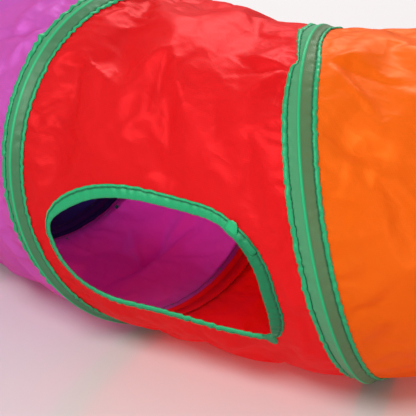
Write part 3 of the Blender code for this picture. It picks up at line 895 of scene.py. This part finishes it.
def hoop_stitches(number, side, reach, height, label, finish):
    """Stitches round one side of a casing, on the outside, or inside for a negative height."""
    count = round(AROUND / STITCH_PITCH)
    turn = turns_round(count)
    moved, raised = np.full(count, reach), np.full(count, height)
    if height > 0.0 and reach < WING_WIDTH:
        moved, raised = wing_shape(number, side, turn, reach, height, 0.7)
    places = beside_hoop(number, side, moved, turn, raised)
    outs = unit(beside_hoop(number, side, moved, turn, raised + 1.0 * MM) - places)
    if height < 0.0:
        outs = -outs
    piece = make_stitches(f"stitches_{number}_{label}", places, outs, 2.2 * MM, finish)
    set_fold(piece)


def make_lap(number):
    """Seam allowance inside the tunnel, where the cloth of one section laps over the next."""
    owner = number - 1 if number <= 4 else number
    turn = turns_round(round(AROUND / (2.0 * TAPE_STEP)))
    owner_side = -1 if owner == number - 1 else 1
    for side, width in ((owner_side, 9.4), (-owner_side, 6.0)):
        outline = ((0.0, -0.35), (width - 0.6, -0.35), (width, -0.55), (width - 0.6, -0.80),
                   (0.0, -0.80))
        rows = []
        for reach, height in outline:
            uneven = 0.35 * MM * ripple(number * 3 + side + 40, 0.02, turn) * (reach > 1.0)
            rows.append((reach * MM + uneven, np.full(len(turn), height * MM),
                         np.full(len(turn), reach * MM)))
        piece = strip_round(f"seam_lap_{number}_{'upper' if side > 0 else 'lower'}", number, side,
                            turn, rows, TAFFETA[owner], side < 0)
        set_fold(piece)


# Across the window's binding: share of its width from the outer edge, height in millimetres
# and look, round the outer face, the folded inner edge and the inner face. The look sets the
# colour: painted highlight on the edges, painted shade in the groove.
BINDING = (
    (0.00, 0.15, "groove"), (0.03, 0.75, "edge"), (0.13, 1.00, "edge"), (0.21, 0.45, "groove"),
    (0.26, 0.42, "groove"), (0.36, 0.95, "full"), (0.62, 1.20, "full"), (0.88, 1.15, "full"),
    (1.00, 0.30, "edge"), (0.98, -0.60, "full"), (0.80, -0.95, "full"), (0.30, -0.85, "full"),
    (0.05, -0.75, "full"),
)
WIDEST_TAPE = 9.0 * MM


def on_tape(section, line, phase, length, share, height):
    """Points on the binding: share of its width inwards, and height over the cloth."""
    inward = inward_of(line)
    edge = ripple(section + 80, 0.011 * AROUND / length, phase)
    lift = ripple(section + 90, 0.008 * AROUND / length, phase)
    inset = share * line[:, 2] + 0.35 * MM * edge * (1.0 - 0.7 * share)
    x = line[:, 0] + inward[:, 0] * inset
    y = line[:, 1] + inward[:, 1] * inset
    reach, turn = from_window(section, x, y)
    scale = 0.6 + 0.4 * line[:, 2] / WIDEST_TAPE
    raised = height * scale + 0.25 * MM * lift + line[:, 3] * share ** 1.5
    return on_settled(section, reach, turn, raised), inset


def make_binding(section, name):
    """Tape folded over the cut edge of a window, wide above and rolled in below."""
    count = 420
    line, length = window_line(count)
    run = np.arange(count) / count * length
    phase = run / length * FULL_TURN
    rows, coordinates = [], []
    for share, height, _look in BINDING:
        places, inset = on_tape(section, line, phase, length, share, height * MM)
        rows.append(places)
        coordinates.append(np.column_stack((inset, run)))
    faces = grid_faces(len(BINDING), count, True, True)
    shade = [TAPE_PAINTED_LIGHT[look] for _share, _height, look in BINDING]
    # Painted shade: the tape darkens by up to 55% where its inner edge rolls up off the cloth.
    rolled = 1.0 - 0.55 * smooth(line[:, 3], 0.8 * MM, 3.2 * MM)
    tint = (np.array(shade)[:, None] * rolled[None, :]).reshape(-1, 1) * np.array(TAPE_GREEN)
    piece = make_mesh(f"{name}_window_tape", np.concatenate(rows), faces.tolist(), [TAPE],
                      np.concatenate(coordinates), tint)
    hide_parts(f"{name}_window_binding")
    set_fold(piece)
    count = round(length / STITCH_PITCH)
    line, _length = window_line(count)
    phase = turns_round(count)
    places, _inset = on_tape(section, line, phase, length, 0.24, 0.58 * MM)
    above, _inset = on_tape(section, line, phase, length, 0.24, 2.58 * MM)
    thread = make_stitches(f"{name}_window_stitches", places, unit(above - places), 2.1 * MM,
                           THREAD)
    set_fold(thread)


# Loose bits of the binding. Each has a shade, a brightness factor on the tape green that is a
# painted highlight on the pale cut end and painted shade on the overlap and the corner, and the
# corner of the window that it is on, with how far round that corner in degrees. Across it, from
# root to tip: left and right edges as millimetres along the outline, then millimetres inwards
# from it, and height.
SCRAPS = (
    ("cut_end", 1.35, 1, 35, ((-4.0, 4.0, 10.0, 1.6), (-5.0, 4.5, 5.0, 2.0), (-4.0, 3.0, 0.0, 2.4),
                              (-1.5, 1.0, -2.5, 2.6))),
    ("overlap", 0.62, 1, 55, ((-6.0, 6.0, 9.5, 2.5), (-6.0, 6.0, 5.0, 2.8), (-5.0, 5.0, 0.5, 2.4))),
    ("corner", 0.60, 2, 60, ((-5.0, 5.0, 6.0, 0.8), (-7.0, 6.0, 2.0, 1.4), (-5.0, 5.0, -1.5, 1.8),
                             (-2.0, 2.5, -3.5, 2.0))),
)
SCRAP_THICKNESS = 0.45 * MM
SCRAP_COLUMNS = 5


def make_scrap(section, name, label, shade, quarter, degrees, rows):
    """A small stiff end or turn of the binding, as a thin plate that stands off the cloth."""
    x, y, along, round_hoop = corner_of(quarter)
    angle = math.radians(90.0 * quarter + degrees)
    middle = np.array((x + along * math.cos(angle), y - round_hoop * math.sin(angle)))
    forward = unit(np.array((-along * math.sin(angle), -round_hoop * math.cos(angle))))
    inward = np.array((forward[1], -forward[0]))
    points = []
    for level in (0.0, -SCRAP_THICKNESS):
        for left, right, inset, height in rows:
            for across in np.linspace(0.0, 1.0, SCRAP_COLUMNS):
                spot = middle + forward * (left + (right - left) * across) * MM
                spot = spot + inward * inset * MM
                crown = 0.35 * MM * math.sin(math.pi * across)
                reach, turn = from_window(section, spot[0], spot[1])
                points.append(on_settled(section, reach, turn, height * MM + crown + level))
    points = np.array(points).reshape(-1, 3)
    faces = plate_faces(len(rows), SCRAP_COLUMNS)[:, (0, 3, 2, 1)]
    # Painted highlight or painted shade: the one tape green scaled by the bit's shade.
    tint = np.tile(np.array(TAPE_GREEN) * shade, (len(points), 1))
    piece = make_mesh(f"{name}_binding_{label}", points, faces.tolist(), [TAPE], points[:, :2],
                      tint)
    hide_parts(f"{name}_window_binding")
    set_fold(piece)


class Slab:
    """Centre, directions and size of a flat CAD node: along it, across it and through it."""

    def __init__(self, node_name, hoop, outside):
        points = corners_of(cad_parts[node_name])
        middle = points.mean(0)
        first, second, through = np.linalg.svd(points - middle, full_matrices=False)[2]
        if through @ (middle - hoop.centre) * (1.0 if outside else -1.0) < 0.0:
            through = -through
        second = np.cross(through, first)
        smallest = math.inf
        for angle in np.radians(np.arange(0.0, 180.0, 0.5)):
            along = math.cos(angle) * first + math.sin(angle) * second
            ways = np.stack((along, np.cross(through, along), through))
            spread = (points - middle) @ ways.T
            size = spread.max(0) - spread.min(0)
            if size[0] > size[1] - 0.01 * MM and size[0] * size[1] < smallest:
                smallest = size[0] * size[1]
                self.ways, self.size = ways, size
                self.centre = middle + 0.5 * (spread.max(0) + spread.min(0)) @ ways

    def place(self, along, across, through):
        """Points at shares of the half size along and across, and a height in metres."""
        along, across, through = np.broadcast_arrays(along, across, through)
        half = np.stack((along * self.size[0] / 2.0, across * self.size[1] / 2.0, through), -1)
        return self.centre + half @ self.ways


def make_slab(node_name, finish, ribs, hoop, curl=0.0):
    """A soft flat piece in place of its CAD slab: rounded edges, woven ribs and a light curl."""
    slab = Slab(node_name, hoop, curl == 0.0)
    rows = max(8, round(slab.size[0] / (1.0 * MM)))
    columns = max(8, round(slab.size[1] / (0.8 * MM)))
    along = np.linspace(-1.0, 1.0, rows)
    across = np.linspace(-1.0, 1.0, columns)
    edge = 0.6 * MM
    reach_edge = np.minimum((1.0 - np.abs(along)) * slab.size[0] / 2.0, edge)[:, None] / edge
    side_edge = np.minimum((1.0 - np.abs(across)) * slab.size[1] / 2.0, edge)[None, :] / edge
    round_off = np.sqrt(np.clip(1.0 - (1.0 - np.minimum(reach_edge, side_edge)) ** 2, 0.0, 1.0))
    weave = np.where(np.arange(rows) % 2 == 0, 1.0, 0.0)[:, None] * ribs
    bend = curl * (along[:, None] ** 2 - 0.4) * np.ones((1, columns))
    thick = slab.size[2] / 2.0 * (0.25 + 0.75 * round_off) * 0.96
    grid_along = np.broadcast_to(along[:, None], (rows, columns))
    grid_across = np.broadcast_to(across[None, :], (rows, columns))
    top = slab.place(grid_along, grid_across, thick - weave * round_off + bend)
    bottom = slab.place(grid_along, grid_across, -thick + weave * round_off + bend)
    points = np.concatenate((top.reshape(-1, 3), bottom.reshape(-1, 3)))
    faces = plate_faces(rows, columns)
    flat = np.stack((grid_along * slab.size[0] / 2.0, grid_across * slab.size[1] / 2.0), -1)
    coordinates = np.tile(flat.reshape(-1, 2), (2, 1))
    piece = make_mesh(f"{node_name}_soft", points, faces.tolist(), [finish], coordinates)
    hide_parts(node_name)
    return piece, slab


def slab_stitches(slab, name, corners):
    """Stitches round a closed line on a slab; corners are shares of its half size."""
    places = []
    for (x0, y0), (x1, y1) in zip(corners, corners[1:] + corners[:1]):
        gap = math.hypot((x1 - x0) * slab.size[0], (y1 - y0) * slab.size[1]) / 2.0
        for share in np.arange(0.0, 1.0, 2.4 * MM / gap):
            places.append((x0 + (x1 - x0) * share, y0 + (y1 - y0) * share))
    places = np.array(places)
    face = slab.place(places[:, 0], places[:, 1], np.full(len(places), slab.size[2] / 2.0))
    outs = np.tile(slab.ways[2], (len(places), 1))
    return make_stitches(name, face, outs, 1.7 * MM, THREAD)


def repaint(node_name, finish):
    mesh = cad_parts[node_name].data
    mesh.materials.clear()
    mesh.materials.append(finish)


for number in range(1, HOOP_COUNT + 1):
    repaint(f"spring_hoop_{number}", STEEL)
    repaint(f"hoop_sleeve_{number}", CRIMP)

SETTLED = {section: Settled(section) for section in CLOTH}
for section in CLOTH:
    make_cloth(section)
for number in range(2, HOOP_COUNT):
    make_lap(number)
    for side, label in ((-1, "lower"), (1, "upper")):
        make_wing(number, side)
        hoop_stitches(number, side, STITCH_REACH, 0.62 * MM, label, THREAD)
        hoop_stitches(number, side, STITCH_REACH, -1.00 * MM, f"{label}_inside", INNER_THREAD)
for number, side in ((1, 1), (HOOP_COUNT, -1)):
    make_hem(number)
    hoop_stitches(number, side, HEM_STITCH_REACH, 0.72 * MM, "hem", THREAD)
    hoop_stitches(number, side, HEM_STITCH_REACH, -1.12 * MM, "hem_inside", THREAD)
for number in (1, 2):
    body = f"strap_{number}"
    strap, slab = make_slab(f"fold_strap_{number}", WEBBING, 0.09 * MM, HOOPS[-1])
    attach(strap, body)
    seams = slab_stitches(slab, f"strap_stitches_{number}",
                          [(-0.97, -0.8), (0.97, -0.8), (0.97, 0.8), (-0.97, 0.8)])
    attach(seams, body)
    hooks, _slab = make_slab(f"hook_pad_{number}", PAD, 0.12 * MM, HOOPS[-1])
    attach(hooks, body)
    loops, _slab = make_slab(f"loop_pad_{number}", PAD, 0.05 * MM, HOOPS[0])
    set_fold(loops)
ribbon, slab = make_slab("care_label", RIBBON, 0.01 * MM, HOOPS[0], 0.8 * MM)
set_fold(ribbon)
for section, name in zip(WINDOW_SECTIONS, ("red", "sky")):
    make_binding(section, name)
    for scrap in SCRAPS:
        make_scrap(section, name, *scrap)


# ---- floor, light and camera

def make_floor():
    bpy.ops.mesh.primitive_plane_add(size=16.0, location=(0.0, 0.0, -0.2 * MM))
    floor = bpy.context.object
    floor.name = "floor"
    finish, _tree, shader, _output = shader_tree("floor_white")
    shader.inputs["Base Color"].default_value = (0.69, 0.66, 0.66, 1.0)
    shader.inputs["Roughness"].default_value = 0.20
    shader.inputs["IOR"].default_value = 2.35
    floor.data.materials.append(finish)


def area_light(name, place, aim, size, energy, colour=(1.0, 1.0, 1.0)):
    light = bpy.data.lights.new(name, "AREA")
    light.shape = "DISK"
    light.size = size
    light.energy = energy
    light.color = colour
    lamp = bpy.data.objects.new(name, light)
    lamp.location = place
    lamp.rotation_euler = (Vector(aim) - Vector(place)).to_track_quat("-Z", "Y").to_euler()
    bpy.context.scene.collection.objects.link(lamp)


def make_camera():
    aim = Vector(HOOPS[2].centre) + Vector(CAMERA_AIM)
    back = Vector((0.0, -math.cos(CAMERA_TILT), math.sin(CAMERA_TILT)))
    data = bpy.data.cameras.new("camera")
    data.lens = CAMERA_LENS
    data.sensor_width = 36.0
    camera = bpy.data.objects.new("camera", data)
    camera.location = aim + back * CAMERA_DISTANCE
    camera.rotation_euler = (math.pi / 2.0 - CAMERA_TILT, 0.0, 0.0)
    bpy.context.scene.collection.objects.link(camera)
    bpy.context.scene.camera = camera


make_floor()
area_light("key", (-0.65, -1.00, 1.38), (0.05, -0.1, 0.1), 0.8, 25.0)
area_light("fill", (0.70, -1.50, 0.42), (0.05, -0.1, 0.1), 0.5, 5.5)
area_light("back", (0.3, 1.3, 1.4), (0.0, 0.0, 0.1), 0.9, 27.0)
world = bpy.data.worlds.new("studio")
world.use_nodes = True
world.node_tree.nodes["Background"].inputs["Color"].default_value = (1.0, 0.985, 0.98, 1.0)
world.node_tree.nodes["Background"].inputs["Strength"].default_value = 0.44
bpy.context.scene.world = world
bpy.context.scene.view_settings.view_transform = "Standard"
make_camera()
